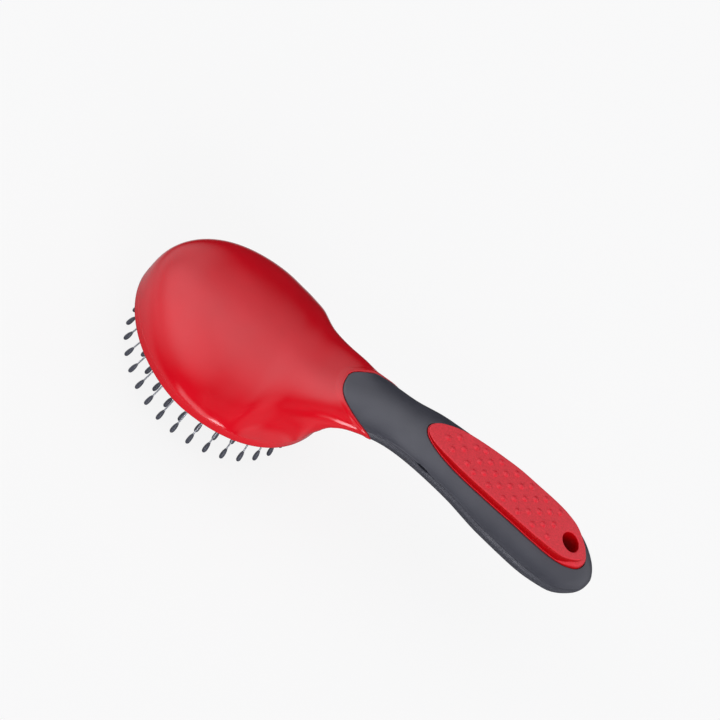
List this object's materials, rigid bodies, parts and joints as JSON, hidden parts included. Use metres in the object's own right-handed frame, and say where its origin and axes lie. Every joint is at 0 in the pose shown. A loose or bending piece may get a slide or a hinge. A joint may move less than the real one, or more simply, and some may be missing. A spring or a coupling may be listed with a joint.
{
  "type": "bristle brush",
  "caption": "Oval pin brush for grooming: glossy red back and frame, dark soft grip with a red pimpled thumb insert and a hanging hole, wire pins with drop-shaped tips.",
  "frame": {"origin": "middle of the length and width at the height of the pin tips", "axes": "+X from the head to the tail, +Y across the head, +Z from the pin tips out of the back"},
  "size_m": [0.2254, 0.0904, 0.0672],
  "materials": {
    "shell": "glossy",
    "cushion": "satin",
    "pins": "satin",
    "grip": "matte",
    "insert": "matte"
  },
  "bodies": {
    "brush": {"back_shell": "shell", "front_frame": "shell", "air_cushion": "cushion", "grip_upper": "grip", "grip_lower": "grip", "thumb_insert": "insert"},
    "pin_bed": {"pin_field_front": "pins", "pin_field_middle": "pins", "pin_field_rear": "pins"}
  },
  "joints": [
    {"name": "pins_press_in", "type": "slide", "parent": "brush", "child": "pin_bed", "axis": [0, 0, 1], "range_m": [0, 0.003], "stiffness_N_per_m": 4000, "deforming": ["air_cushion"]}
  ]
}
